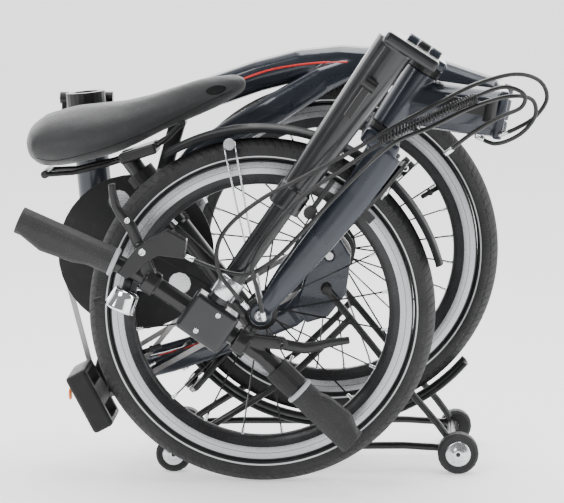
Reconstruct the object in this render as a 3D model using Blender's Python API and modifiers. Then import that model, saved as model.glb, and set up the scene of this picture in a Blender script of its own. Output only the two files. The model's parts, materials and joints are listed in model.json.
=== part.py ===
"""Folding bicycle, folded up and standing on the rollers of its rear rack.

The drafting frame is in millimetres: X to the right of the folded bicycle, Y across it, Z up, with the
ground at Z = 0 and Y = 0 midway between the two wheel planes. place() turns a drafting point into the
model's own frame, whose origin is the bottom centre of the whole object's box.
"""
import math

import bmesh
import bpy
from mathutils import Matrix, Vector

MM = 0.001
CENTRE_X = 4.72
CENTRE_Y = 27.234
POST_LENGTH = 373

# Driving dimensions, in millimetres and degrees
GAP = 0.5
FRONT_Y = -75
REAR_Y = 75
TYRE_RADIUS = 207.5
TYRE_HALF_WIDTH = 17.5
RIM_SEAT = 182.2
RIM_INNER = 152
RIM_HALF_WIDTH = 12
FRONT_HUB = (-20.6, 207.5)
REAR_HUB = (57.7, 262)
FRONT_SPOKES = 20
REAR_SPOKES = 28
SPOKE_GAP = 1.6
ROUND = 36

HINGE = (268, 0, 443)
HINGE_LEAN = 10
STEER_FOOT = (123, 422)
STEER_ANGLE = 57.5
POST_HEAD = (128, 515)
POST_FOOT = (-84, 208)
POST_Y = -155
FOLD_S = 111.5
FOLD_Y = -115

BOTTOM_BRACKET = (-180, 264)
CRANK_END = (-227, 98)
RING_RADIUS = 88
REAR_PIVOT = (-215, 103)
IDLER_RADIUS = 14
SPROCKET_RADIUS = 20
FRONT_CHAIN_Y = 20.5
REAR_CHAIN_Y = 27.5
CHAIN_WIDTH = 5
CHAIN_HEIGHT = 6

SEATPOST_TOP = (-185, 383)
SEATPOST_FOOT = (-26, 173)
SEATPOST_Y = -17
SEAT_TUBE_TOP = (-246, 444)

BAR = [(-299, 324), (-188, 275), (-160, 261), (-78, 207), (-18, 167.5), (-4, 154.5), (88, 65)]
STEM_CENTRE = (-80, 207)
BELL_CENTRE = (-179, 232)

ROLLERS = {
    "near_right": (216, -25, 25, 25),
    "near_left": (-131, -25, 22, 22),
    "far_right": (216, 175, 20, 20),
    "far_left": (-131, 175, 20, 20),
}

FINISHES = {
    "paint": ((0.06, 0.075, 0.10), 0.32, 0.6),
    "black": ((0.012, 0.012, 0.013), 0.4, 0.5),
    "plastic": ((0.014, 0.014, 0.015), 0.55, 0.0),
    "rubber": ((0.02, 0.02, 0.021), 0.8, 0.0),
    "alloy": ((0.62, 0.63, 0.65), 0.3, 1.0),
    "chrome": ((0.8, 0.8, 0.82), 0.12, 1.0),
    "steel": ((0.3, 0.3, 0.31), 0.35, 1.0),
    "leather": ((0.025, 0.025, 0.027), 0.6, 0.0),
}


# Frame and geometry helpers

def clear_scene():
    for obj in list(bpy.data.objects):
        bpy.data.objects.remove(obj, do_unlink=True)


def place(x, y, z):
    return Vector((x - CENTRE_X, y - CENTRE_Y, z)) * MM


def steer(s, n, y):
    """A point s along the steering axis above its foot, n to the right of it, in the plane y."""
    tilt = math.radians(STEER_ANGLE)
    x = STEER_FOOT[0] + s * math.cos(tilt) + n * math.sin(tilt)
    z = STEER_FOOT[1] + s * math.sin(tilt) - n * math.cos(tilt)
    return (x, y, z)


def hinge_point(u, y, t):
    """A point u across, y along and t up the leaning axis of the main hinge."""
    lean = math.radians(HINGE_LEAN)
    x = HINGE[0] + u * math.cos(lean) + t * math.sin(lean)
    z = HINGE[2] - u * math.sin(lean) + t * math.cos(lean)
    return (x, y, z)


def around(hub, radius, degrees):
    turn = math.radians(degrees)
    return hub[0] + radius * math.cos(turn), hub[1] + radius * math.sin(turn)


def smooth(points, steps):
    """A Catmull-Rom curve through rows of numbers."""
    rows = [points[0]] + list(points) + [points[-1]]
    curve = []
    for i in range(1, len(rows) - 2):
        a, b, c, d = (Vector(row) for row in rows[i - 1:i + 3])
        for j in range(steps):
            t = j / steps
            curve.append(0.5 * (2 * b + (c - a) * t + (2 * a - 5 * b + 4 * c - d) * t ** 2
                                + (3 * b - a - 3 * c + d) * t ** 3))
    curve.append(Vector(points[-1]))
    return curve


def mesh_object(name, bm):
    bmesh.ops.remove_doubles(bm, verts=bm.verts, dist=0.000002)
    bmesh.ops.recalc_face_normals(bm, faces=bm.faces)
    mesh = bpy.data.meshes.new(name)
    bm.to_mesh(mesh)
    bm.free()
    mesh.shade_smooth()
    mesh.set_sharp_from_angle(angle=math.radians(35))
    obj = bpy.data.objects.new(name, mesh)
    parts.objects.link(obj)
    return obj


def rod(name, start, end, radius, radius_end=None, sides=12):
    """A round bar between two drafting points."""
    a = place(*start)
    b = place(*end)
    matrix = Matrix.Translation((a + b) / 2) @ (b - a).to_track_quat("Z", "Y").to_matrix().to_4x4()
    bm = bmesh.new()
    far = radius if radius_end is None else radius_end
    bmesh.ops.create_cone(bm, cap_ends=True, segments=sides, radius1=radius * MM, radius2=far * MM,
                          depth=(b - a).length, matrix=matrix)
    return mesh_object(name, bm)


def block(name, centre, size, right=(1, 0, 0), up=(0, 0, 1), bevel=0):
    """A box with its own right and up directions and optional rounded edges."""
    x_axis = Vector(right).normalized()
    z_axis = Vector(up).normalized()
    y_axis = z_axis.cross(x_axis)
    turn = Matrix((x_axis, y_axis, z_axis)).transposed().to_4x4()
    grow = Matrix.Diagonal((size[0] * MM, size[1] * MM, size[2] * MM, 1))
    bm = bmesh.new()
    bmesh.ops.create_cube(bm, size=1, matrix=Matrix.Translation(place(*centre)) @ turn @ grow)
    if bevel:
        bmesh.ops.bevel(bm, geom=bm.edges[:], offset=bevel * MM, segments=2, affect="EDGES", profile=0.5)
    return mesh_object(name, bm)


def ring_loft(name, rings, loop=False):
    """A skin over rings of the same number of drafting points, capped unless it closes on itself."""
    bm = bmesh.new()
    made = [[bm.verts.new(place(*point)) for point in ring] for ring in rings]
    pairs = list(zip(made, made[1:]))
    if loop:
        pairs.append((made[-1], made[0]))
    for ring, after in pairs:
        for i in range(len(ring)):
            j = (i + 1) % len(ring)
            bm.faces.new((ring[i], ring[j], after[j], after[i]))
    if not loop:
        bm.faces.new(made[0])
        bm.faces.new(made[-1])
    return mesh_object(name, bm)


def limb(name, stations, sides=12, squareness=2.6):
    """A tube of oval section along stations of x, y, z, half height and half width."""
    rings = []
    for i, row in enumerate(stations):
        x, y, z, high, wide = row
        before = stations[max(i - 1, 0)]
        after = stations[min(i + 1, len(stations) - 1)]
        along = Vector((after[0] - before[0], 0, after[2] - before[2])).normalized()
        up = Vector((-along.z, 0, along.x))
        ring = []
        for k in range(sides):
            turn = 2 * math.pi * k / sides
            c = math.cos(turn)
            s = math.sin(turn)
            across = math.copysign(abs(c) ** (2 / squareness), c) * wide
            lift = math.copysign(abs(s) ** (2 / squareness), s) * high
            ring.append((x + up.x * lift, y + across, z + up.z * lift))
        rings.append(ring)
    return ring_loft(name, rings)


def lathe(name, hub, plane, profile, steps=ROUND):
    """A closed profile of radius and sideways offset turned about a Y axis through hub."""
    mesh = bpy.data.meshes.new(name)
    points = [(radius * MM, 0, -side * MM) for radius, side in profile]
    mesh.from_pydata(points, [(i, (i + 1) % len(points)) for i in range(len(points))], [])
    obj = bpy.data.objects.new(name, mesh)
    parts.objects.link(obj)
    screw = obj.modifiers.new("turn", "SCREW")
    screw.axis = "Z"
    screw.steps = steps
    screw.render_steps = steps
    screw.use_merge_vertices = True
    screw.merge_threshold = 0.00001
    obj.matrix_world = Matrix.Translation(place(hub[0], plane, hub[1])) @ Matrix.Rotation(math.pi / 2, 4, "X")
    return bake(obj)


def bake(obj):
    """The object as its modifiers show it, as a plain mesh in world coordinates."""
    bpy.context.view_layer.update()
    seen = obj.evaluated_get(bpy.context.evaluated_depsgraph_get())
    mesh = bpy.data.meshes.new_from_object(seen)
    bm = bmesh.new()
    bm.from_mesh(mesh)
    bm.transform(obj.matrix_world)
    name = obj.name
    bpy.data.objects.remove(obj)
    bpy.data.meshes.remove(mesh)
    return mesh_object(name, bm)


def tube(name, points, radius, sides_level=2, steps=0):
    """A bent wire or pipe through drafting points, smoothed when steps is given."""
    route = smooth(points, steps) if steps else [Vector(point) for point in points]
    curve = bpy.data.curves.new(name, "CURVE")
    curve.dimensions = "3D"
    curve.bevel_depth = radius * MM
    curve.bevel_resolution = sides_level
    curve.use_fill_caps = True
    spline = curve.splines.new("POLY")
    spline.points.add(len(route) - 1)
    for point, row in zip(spline.points, route):
        point.co = (*place(*row), 1)
    obj = bpy.data.objects.new(name, curve)
    parts.objects.link(obj)
    return bake(obj)


def plate(name, outline, low_y, high_y):
    """A flat plate in the XZ plane between two Y values, from its outline of x and z."""
    curve = bpy.data.curves.new(name, "CURVE")
    curve.dimensions = "2D"
    curve.fill_mode = "BOTH"
    curve.extrude = (high_y - low_y) / 2 * MM
    spline = curve.splines.new("POLY")
    spline.points.add(len(outline) - 1)
    spline.use_cyclic_u = True
    for point, (x, z) in zip(spline.points, outline):
        point.co = ((x - CENTRE_X) * MM, z * MM, 0, 1)
    obj = bpy.data.objects.new(name, curve)
    parts.objects.link(obj)
    middle = Vector((0, ((low_y + high_y) / 2 - CENTRE_Y) * MM, 0))
    obj.matrix_world = Matrix.Translation(middle) @ Matrix.Rotation(math.pi / 2, 4, "X")
    return bake(obj)


def combine(obj, others, operation="UNION"):
    """One Boolean of obj with each of the others in turn."""
    for other in others:
        other.hide_render = True
        other.display_type = "WIRE"
        modifier = obj.modifiers.new(operation.lower(), "BOOLEAN")
        modifier.operation = operation
        modifier.object = other
        modifier.solver = "EXACT"
        obj = bake(obj)
        bpy.data.objects.remove(other)
    return obj


def unite(name, pieces):
    pieces[0].name = name
    return combine(pieces[0], pieces[1:])


def cut(obj, cutters):
    return combine(obj, cutters, "DIFFERENCE")


def pivot(name, point):
    """An empty on a joint's axis that the moving pieces are parented to."""
    empty = bpy.data.objects.new(name, None)
    empty.location = place(*point)
    parts.objects.link(empty)
    bpy.context.view_layer.update()
    return empty


def finish(obj, finish_name, parent=None):
    """Names the piece's own material and hangs it on its pivot."""
    color, roughness, metallic = FINISHES[finish_name]
    material = bpy.data.materials.new(obj.name)
    material.use_nodes = True
    shader = material.node_tree.nodes["Principled BSDF"]
    shader.inputs["Base Color"].default_value = (*color, 1)
    shader.inputs["Roughness"].default_value = roughness
    shader.inputs["Metallic"].default_value = metallic
    material.diffuse_color = (*color, 1)
    obj.data.materials.clear()
    obj.data.materials.append(material)
    if parent:
        obj.data.transform(Matrix.Translation(-parent.location))
        obj.parent = parent
    return obj


# Wheels

def spoke_rods(hub, plane, count, flange, flange_side):
    """Radial spokes from both hub flanges to just short of the rim."""
    rods = []
    for i in range(count):
        angle = 360 * (i + 0.5) / count
        side = flange_side if i % 2 else -flange_side
        x0, z0 = around(hub, flange - 4, angle)
        x1, z1 = around(hub, RIM_INNER - SPOKE_GAP, angle)
        rods.append(rod("spoke", (x0, plane + side, z0), (x1, plane + side * 0.12, z1), 1.2, sides=3))
    return rods


def wheel(prefix, hub, plane, spokes, hub_profile, flange, flange_side):
    spin = pivot(f"{prefix}_wheel_axis", (hub[0], plane, hub[1]))
    half = [(RIM_SEAT, 10.5), (190, TYRE_HALF_WIDTH), (200, 14.5), (TYRE_RADIUS, 4)]
    tyre = lathe(f"{prefix}_tyre", hub, plane, half + [(r, -y) for r, y in reversed(half)])
    half = [(RIM_INNER, 5), (158, 10), (164, RIM_HALF_WIDTH), (RIM_SEAT - GAP, RIM_HALF_WIDTH)]
    rim = lathe(f"{prefix}_rim", hub, plane, half + [(r, -y) for r, y in reversed(half)])
    body = lathe(f"{prefix}_hub", hub, plane, hub_profile, 16)
    body = combine(body, spoke_rods(hub, plane, spokes, flange, flange_side))
    finish(tyre, "rubber", spin)
    finish(rim, "alloy", spin)
    finish(body, "black", spin)
    return spin


def hub_outline(bore, barrel, flange, flange_side, half_length):
    half = [(bore, half_length), (bore + 5, half_length), (barrel, flange_side + 2), (flange, flange_side + 1.5),
            (flange, flange_side - 1.5), (barrel, flange_side - 3)]
    return half + [(r, -y) for r, y in reversed(half)]


# Frames

def main_frame():
    """Arched main tube, its lower leg beside the rear wheel, seat tube, bracket shell and hinge half."""
    arch = [(-236, 413, 15, 17), (-150, 441, 17, 20), (-80, 460, 20, 22), (-32, 477, 20, 23), (20, 490.5, 20, 23),
            (70, 495.5, 20, 23), (120, 491, 22, 23), (190, 473, 25, 23), (240, 453, 28, 24), (258, 446, 30, 25)]
    rows = [(x, REAR_Y, z, high, wide) for x, z, high, wide in arch]
    tube_top = limb("main_frame", rows)
    leg_rows = [(92, 61, 491, 13, 9), (48, 45.5, 474, 17, 10), (-4, 39, 443, 19, 12), (-60, 38, 410, 18, 13),
                (-105, 38, 381, 18, 13), (-150, 40, 325, 17, 11), (-176, 44, 275, 16, 10)]
    leg = limb("leg", leg_rows)
    seat_low = (-219, 145)
    seat_tube = rod("seat_tube", (SEAT_TUBE_TOP[0], REAR_Y, SEAT_TUBE_TOP[1]),
                    (seat_low[0], REAR_Y, seat_low[1]), 21, sides=24)
    neck = limb("neck", [(seat_low[0], REAR_Y, seat_low[1] + 12, 19, 11), (REAR_PIVOT[0], REAR_Y, 112, 16, 10.5)],
                squareness=5)
    lug = rod("lug", (REAR_PIVOT[0], REAR_Y - 11.5, REAR_PIVOT[1]), (REAR_PIVOT[0], REAR_Y + 11.5, REAR_PIVOT[1]),
              19, sides=24)
    shell = rod("shell", (BOTTOM_BRACKET[0], 31, BOTTOM_BRACKET[1]), (BOTTOM_BRACKET[0], 112, BOTTOM_BRACKET[1]),
                20, sides=24)
    web = limb("web", [(-236, REAR_Y, 262, 15, 13), (BOTTOM_BRACKET[0], REAR_Y, BOTTOM_BRACKET[1], 15, 13)],
               squareness=5)
    frame = unite("main_frame", [tube_top, leg, seat_tube, neck, lug, shell, web] + hinge_half(1))
    post_bore = rod("bore", (-249, REAR_Y, 480), (-236, REAR_Y, 330), 15, sides=20)
    axle_bore = rod("bore", (BOTTOM_BRACKET[0], 0, BOTTOM_BRACKET[1]), (BOTTOM_BRACKET[0], 140, BOTTOM_BRACKET[1]),
                    9, sides=20)
    pivot_bore = rod("bore", (REAR_PIVOT[0], 40, REAR_PIVOT[1]), (REAR_PIVOT[0], 110, REAR_PIVOT[1]), 9, sides=20)
    pin_bore = rod("bore", hinge_point(0, 0, -50), hinge_point(0, 0, 50), 4.3)
    return cut(frame, [post_bore, axle_bore, pivot_bore, pin_bore])


def hinge_half(side):
    """The face plate, arm and knuckles of one half of the main hinge; side is 1 on the main frame."""
    lean = math.radians(HINGE_LEAN)
    right = (math.cos(lean), 0, -math.sin(lean))
    up = (math.sin(lean), 0, math.cos(lean))
    made = []
    made.append(block("face", hinge_point(-6.3, side * 55, 0), (11, 90, 58), right, up, 2))
    spans = [(-29, -13.5), (13.5, 29)] if side > 0 else [(-13, 13)]
    for low, high in spans:
        made.append(rod("knuckle", hinge_point(0, 0, low), hinge_point(0, 0, high), 8, sides=16))
        made.append(block("web", hinge_point(-5.5, side * 7, (low + high) / 2), (9, 14, high - low - 0.4), right, up))
    return made


def front_frame():
    """Short front tube between the hinge and the head tube."""
    x0, _, z0 = steer(46, 0, 0)
    rows = [(x0, FRONT_Y, z0, 30, 18), (172, FRONT_Y, 456, 29, 21), (215, FRONT_Y, 450, 29, 24),
            (258, FRONT_Y, 445, 29, 25)]
    body = limb("front_frame", rows)
    head = rod("head", steer(8, 0, FRONT_Y), steer(86, 0, FRONT_Y), 20, sides=24)
    frame = unite("front_frame", [body, head] + hinge_half(-1))
    bore = rod("bore", steer(-30, 0, FRONT_Y), steer(130, 0, FRONT_Y), 15, sides=24)
    pin_bore = rod("bore", hinge_point(0, 0, -50), hinge_point(0, 0, 50), 4.3)
    return cut(frame, [bore, pin_bore])


def fork():
    """Crown, two blades, steerer and the lower half of the handlepost hinge."""
    pieces = [rod("fork", steer(-15, 0, FRONT_Y), steer(101, 0, FRONT_Y), 14, sides=20)]
    tilt = math.radians(STEER_ANGLE)
    along = (math.cos(tilt), 0, math.sin(tilt))
    across = (math.sin(tilt), 0, -math.cos(tilt))
    pieces.append(block("crown", steer(-10.2, 3.1, FRONT_Y), (47.3, 84.4, 19.1), across, along, 4))
    for side in (-1, 1):
        rows = [(128, 36, 402, 21, 7), (92, 36, 350, 20, 7), (50, 37, 297, 18, 7), (8, 37.5, 246, 14, 5),
                (-16, 38, 214, 10, 3.2)]
        pieces.append(limb("blade", [(x, FRONT_Y + side * y, z, high, wide) for x, y, z, high, wide in rows]))
        pieces.append(rod("dropout", (FRONT_HUB[0], FRONT_Y + side * 34.5, FRONT_HUB[1]),
                          (FRONT_HUB[0], FRONT_Y + side * 39.5, FRONT_HUB[1]), 14, sides=16))
    pieces.append(block("base", steer(103, -15, FRONT_Y + 3), (72, 54, 12), across, along, 3))
    pieces.append(block("wing", steer(104.6, -15, -101.5), (45, 25, 8.7), across, along))
    for n in (-30, 0):
        pieces.append(rod("knuckle", steer(FOLD_S, n - 7, FOLD_Y), steer(FOLD_S, n + 7, FOLD_Y), 8, sides=14))
    made = unite("fork", pieces)
    axle_bore = rod("bore", (FRONT_HUB[0], -140, FRONT_HUB[1]), (FRONT_HUB[0], -10, FRONT_HUB[1]), 4.9)
    pin_bore = rod("bore", steer(FOLD_S, -60, FOLD_Y), steer(FOLD_S, 30, FOLD_Y), 3.3)
    knuckle_room = block("room", steer(FOLD_S - 3, -15, -116), (16.1, 23, 28), across, along)
    return cut(made, [axle_bore, pin_bore, knuckle_room])


def rear_stays():
    """Two stays from the rear pivot to the dropouts, joined by the pivot sleeve and a brake bridge."""
    sleeve_ends = ((REAR_PIVOT[0], 34, REAR_PIVOT[1]), (REAR_PIVOT[0], 110, REAR_PIVOT[1]))
    pieces = [rod("rear_stays", *sleeve_ends, 8.4, sides=16)]
    pieces.append(rod("bridge", (-140, 36, 121), (-140, 114, 121), 8))
    pieces.append(rod("idler_boss", (REAR_PIVOT[0], 16.5, REAR_PIVOT[1]), (REAR_PIVOT[0], 40, REAR_PIVOT[1]), 5))
    rows = [(REAR_PIVOT[0], 31, 103, 14, 6.5), (-185, 33, 112, 14, 6.5), (-140, 36, 124, 14, 6.5),
            (-87, 37, 141, 13, 6), (-50, 39, 156, 12, 6), (-20, 50, 169, 12, 4), (10, 60, 184, 14, 3.5),
            (34, 62, 208, 17, 2.4)]
    outline = [(15, 196), (30, 178), (56, 186), (78, 214), (84, 262), (72, 282), (50, 282), (34, 256)]
    for side in (-1, 1):
        pieces.append(rod("knuckle", (REAR_PIVOT[0], REAR_Y + side * 25, REAR_PIVOT[1]),
                          (REAR_PIVOT[0], REAR_Y + side * 38, REAR_PIVOT[1]), 19, sides=20))
        pieces.append(limb("stay", [(x, REAR_Y + side * y, z, high, wide) for x, y, z, high, wide in rows], 10))
        ends = sorted((REAR_Y + side * 59.5, REAR_Y + side * 65))
        pieces.append(plate("dropout", outline, *ends))
    made = unite("rear_stays", pieces)
    axle_bore = rod("bore", (REAR_HUB[0], -10, REAR_HUB[1]), (REAR_HUB[0], 160, REAR_HUB[1]), 5.4)
    return cut(made, [axle_bore])


def rear_rack():
    """Tubular rack that carries the four rollers and stands on them when folded."""
    near = -8
    far = 158
    right_x, _, right_z, _ = ROLLERS["near_right"]
    left_x, _, left_z, _ = ROLLERS["near_left"]
    strut_foot = (right_x - 8, near, 33)
    pieces = [rod("rear_rack", (right_x - 6, near, 26), (right_x - 6, far, 26), 5),
              rod("cross", (60, near, 27), (60, far, 27), 5)]
    for side in (-1, 1):
        def y(offset, side=side):
            return REAR_Y + side * offset
        pieces.append(tube("strut", smooth([(54, y(71), 221), (80, y(72), 190), (150, y(80), 105),
                                            (192, y(82), 56), (strut_foot[0], y(83), strut_foot[2])], 2), 5, 1))
        pieces.append(tube("branch", smooth([(84, y(72.5), 186), (22, y(76), 124), (-27, y(80), 89), (-83, y(81), 54),
                                             (left_x + 6, y(83), left_z + 4)], 2), 5, 1))
        pieces.append(tube("rail", smooth([(left_x + 4, y(83), left_z + 2), (-60, y(83), 27), (60, y(83), 28),
                                           (150, y(83), 30), (right_x - 4, y(83), 26)], 2), 5, 1))
        pieces.append(rod("boss", (54, y(65.5), 221), (54, y(76), 221), 7))
    for x, y_roller, z, _ in ROLLERS.values():
        inner = near + 4 if y_roller < REAR_Y else far - 4
        outward = -1 if y_roller < REAR_Y else 1
        pieces.append(rod("pin", (x, inner, z), (x, y_roller + outward * 14, z), 4, sides=10))
        foot_x = x - 9 if x > 0 else x + 9
        stations = sorted([(x, inner + outward * 4, z, 8, 4.6), (foot_x, inner + outward * 4, z + 4, 8, 4.6)])
        pieces.append(limb("lug", stations, 10))
    return unite("rear_rack", pieces)


def fender(name, hub, plane, start, end, radius):
    """A curved mudguard: a thin crowned strip swept between two angles."""
    rings = []
    count = 16
    for i in range(count + 1):
        angle = start + (end - start) * i / count
        ring = []
        for side, drop in ((-23, 9), (-20, 3), (-9, 0), (9, 0), (20, 3), (23, 9)):
            x, z = around(hub, radius - drop, angle)
            ring.append((x, plane + side, z))
        for side, drop in ((21.4, 9), (18.8, 4.2), (8.6, 1.6), (-8.6, 1.6), (-18.8, 4.2), (-21.4, 9)):
            x, z = around(hub, radius - drop, angle)
            ring.append((x, plane + side, z))
        rings.append(ring)
    return ring_loft(name, rings)


def caliper_arm(name, hub, plane, angle, side, stagger):
    """One brake arm reaching round the tyre from the bolt to a pad beside the rim."""
    turn = math.radians(angle)
    along = Vector((-math.sin(turn), 0, math.cos(turn)))

    def point(radius, offset, lead):
        x, z = around(hub, radius, angle)
        return (x + along.x * lead, plane + offset, z + along.z * lead)

    eye = rod(name, point(243, 0, stagger - 3.4), point(243, 0, stagger + 3.4), 10, sides=16)
    bend = [point(243, side * 4, stagger), point(245, side * 16, stagger), point(240, side * 27, stagger),
            point(222, side * 31, stagger * 0.6), point(200, side * 28, 0), point(180, side * 23, 0),
            point(170, side * 20, 0)]
    pad = block("pad", point(171, side * 18.2, 0), (10, 7, 34), (math.cos(turn), 0, math.sin(turn)), along)
    made = unite(name, [eye, tube("bend", bend, 4.4, 1), pad])
    return cut(made, [rod("bore", point(243, 0, -30), point(243, 0, 30), 3.4, sides=10)])


def chain_band(name, wheels, plane):
    """A closed chain run round two wheels, each given by its centre and radius."""
    (ax, az), ra = wheels[0]
    (bx, bz), rb = wheels[1]
    gap = math.hypot(bx - ax, bz - az)
    heading = math.atan2(bz - az, bx - ax)
    lead = math.acos((ra - rb) / gap)
    rings = []

    def arc(cx, cz, radius, start, end, steps):
        for i in range(steps + 1):
            turn = start + (end - start) * i / steps
            c = math.cos(turn)
            s = math.sin(turn)
            inner = radius
            outer = radius + CHAIN_HEIGHT
            low = plane - CHAIN_WIDTH / 2
            high = plane + CHAIN_WIDTH / 2
            rings.append([(cx + inner * c, low, cz + inner * s), (cx + outer * c, low, cz + outer * s),
                          (cx + outer * c, high, cz + outer * s), (cx + inner * c, high, cz + inner * s)])

    arc(ax, az, ra, heading + lead, heading + 2 * math.pi - lead, 20)
    arc(bx, bz, rb, heading - lead, heading + lead, 10)
    return ring_loft(name, rings, loop=True)


# Drivetrain

def cog(name, centre, plane, radius, teeth, half_width, bore):
    """A toothed disc with a bore."""
    points = []
    for i in range(teeth * 2):
        turn = 180 * i / teeth
        x, z = around(centre, radius if i % 2 else radius - 4, turn)
        points.append((x, z))
    disc = plate(name, points, plane - half_width, plane + half_width)
    return cut(disc, [rod("bore", (centre[0], plane - 20, centre[1]), (centre[0], plane + 20, centre[1]), bore,
                          sides=20)])


def chain_guard():
    """Dished disc outside the chainring with kidney windows."""
    x, z = BOTTOM_BRACKET
    disc = rod("chain_guard", (x, 13.2, z), (x, 16, z), 96, sides=40)
    cutters = [rod("bore", (x, 0, z), (x, 30, z), 12, sides=20)]
    for i in range(5):
        wx, wz = around(BOTTOM_BRACKET, 66, 36 + 72 * i)
        cutters.append(rod("window", (wx, 0, wz), (wx, 30, wz), 14, sides=12))
    return cut(disc, cutters)


def crank(name, end, low_y, high_y, hub_y):
    """A tapered arm from the bracket axle to the pedal eye."""
    x, z = BOTTOM_BRACKET
    middle = (low_y + high_y) / 2
    wide = (high_y - low_y) / 2 - 0.7
    arm = limb(name, [(x, middle, z, 13, wide), ((x + end[0]) / 2, middle, (z + end[1]) / 2, 10, wide),
                      (end[0], middle, end[1], 11, wide)], 12, 4)
    boss = rod("boss", (x, hub_y[0], z), (x, hub_y[1], z), 16, sides=20)
    eye = rod("eye", (end[0], low_y, end[1]), (end[0], high_y, end[1]), 13, sides=16)
    made = unite(name, [arm, boss, eye])
    bores = [rod("bore", (x, hub_y[0] - 9, z), (x, hub_y[1] + 9, z), 8.5, sides=16),
             rod("bore", (end[0], low_y - 20, end[1]), (end[0], high_y + 20, end[1]), 5.3)]
    return cut(made, bores)


def pedal(name, centre, direction, inner_y, outer_y, arm_y):
    """A slotted platform on its spindle."""
    x, z = centre
    long_way = Vector((direction[0], 0, direction[1])).normalized()
    thick_way = Vector((-long_way.z, 0, long_way.x))
    middle = (inner_y + outer_y) / 2
    length = abs(outer_y - inner_y)
    body = block(name, (x, middle, z), (76, length, 26), long_way, thick_way, 4)
    windows = []
    for end in (-1, 1):
        at = Vector((x, middle, z)) + long_way * 22 * end
        windows.append(block("window", at, (18, length - 26, 60), long_way, thick_way))
    body = cut(body, windows)
    return unite(name, [body, rod("spindle", (x, arm_y, z), (x, middle, z), 5)])


# Controls

def post_point(t, n=0, y=POST_Y):
    """A point t millimetres down the folded handlepost from its head and n to the right of its axis."""
    down = (Vector(POST_FOOT) - Vector(POST_HEAD)).normalized()
    found = Vector(POST_HEAD) + down * t + Vector((-down.y, down.x)) * n
    return (found.x, y, found.y)


def post_axes():
    """The directions across and up the folded handlepost."""
    up = (Vector(POST_HEAD) - Vector(POST_FOOT)).normalized()
    return (up.y, 0, -up.x), (up.x, 0, up.y)


def bar_point(span, part, lift=0):
    """A point part of the way along one straight span of the handlebar and lift square to it."""
    a = Vector(BAR[span])
    b = Vector(BAR[span + 1])
    along = (b - a).normalized()
    found = a + (b - a) * part + Vector((-along.y, along.x)) * lift
    return (found.x, POST_Y, found.y)


def sleeve(name, span, start, end, radius, bore, sides=18):
    """A round sleeve on one span of the handlebar between two fractions of it."""
    body = rod(name, bar_point(span, start), bar_point(span, end), radius, sides=sides)
    room = rod("bore", bar_point(span, start - 0.1), bar_point(span, end + 0.1), bore, sides=16)
    return cut(body, [room])


def grip(name, span, start, end, palm_lift):
    """A grip sleeve with the flat palm wing of a comfort grip."""
    body = rod(name, bar_point(span, start), bar_point(span, end), 16.5, sides=16)
    stations = []
    for part, high in ((0.04, 9), (0.3, 15), (0.62, 13), (0.95, 6)):
        x, y, z = bar_point(span, start + (end - start) * part, palm_lift * high / 15)
        stations.append((x, y, z, high, 15))
    if stations[0][0] > stations[-1][0]:
        stations.reverse()
    body = unite(name, [body, limb("wing", stations, 12)])
    low, high = sorted((start, end))
    return cut(body, [rod("bore", bar_point(span, low - 0.1), bar_point(span, high + 0.1), 11.5, sides=16)])


def lever(name, points, pivot_at, thick):
    """A flat brake blade through x, z points with its pivot eye."""
    stations = [(x, POST_Y, z, high, thick) for x, z, high in points]
    blade = limb(name, smooth(stations, 2), 10)
    eye = rod("eye", (pivot_at[0], POST_Y - 5, pivot_at[1]), (pivot_at[0], POST_Y + 5, pivot_at[1]), 8, sides=14)
    made = unite(name, [blade, eye])
    return cut(made, [rod("bore", (pivot_at[0], POST_Y - 20, pivot_at[1]), (pivot_at[0], POST_Y + 20, pivot_at[1]),
                          2.8, sides=10)])


LEFT_PIVOT = (-159, 290)
RIGHT_PIVOT = (5, 181)


def handlebar():
    """The swept bar with the two lever clamps and their pivot pins."""
    pieces = [tube("handlebar", [(x, POST_Y, z) for x, z in BAR], 11)]
    for span, part, (x, z) in ((2, 0.16, LEFT_PIVOT), (3, 0.62, RIGHT_PIVOT)):
        bx, _, bz = bar_point(span, part, 3)
        reach = 8 / (Vector(BAR[span + 1]) - Vector(BAR[span])).length
        pieces.append(rod("clamp", bar_point(span, part - reach), bar_point(span, part + reach), 15, sides=16))
        for side in (-1, 1):
            stations = sorted([(bx, POST_Y + side * 8, bz, 8, 2.2), (x, POST_Y + side * 8, z, 7, 2.2)])
            pieces.append(limb("ear", stations, 10, 4))
        pieces.append(rod("pin", (x, POST_Y - 10.6, z), (x, POST_Y + 10.6, z), 2.4, sides=10))
    return unite("handlebar", pieces)


def handlepost():
    """The fat tapered handlepost with its hinge flange and the quick-release collar at its foot."""
    tilt = math.radians(STEER_ANGLE)
    along = (math.cos(tilt), 0, math.sin(tilt))
    across = (math.sin(tilt), 0, -math.cos(tilt))
    pieces = [rod("handlepost", post_point(206), post_point(-20), 17, 24.5, 22)]
    pieces.append(rod("collar", post_point(212), post_point(184), 20, sides=22))
    pieces.append(block("flange", steer(104, -27, POST_Y + 2), (70, 58, 14), across, along, 3))
    pieces.append(rod("knuckle", steer(FOLD_S, -22.5, FOLD_Y), steer(FOLD_S, -7.5, FOLD_Y), 8, sides=14))
    pieces.append(block("web", steer(FOLD_S - 5.3, -15, -122), (13.1, 13.3, 6.1), across, along))
    made = unite("handlepost", pieces)
    bore = rod("bore", post_point(240), post_point(2), 13.9, sides=18)
    pin_bore = rod("bore", steer(FOLD_S, -60, FOLD_Y), steer(FOLD_S, 30, FOLD_Y), 3.3)
    return cut(made, [bore, pin_bore])


def inner_post():
    """The thinner post that slides in the handlepost."""
    return rod("inner_post", post_point(POST_LENGTH - 24), post_point(60), 13.5, sides=18)


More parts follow.
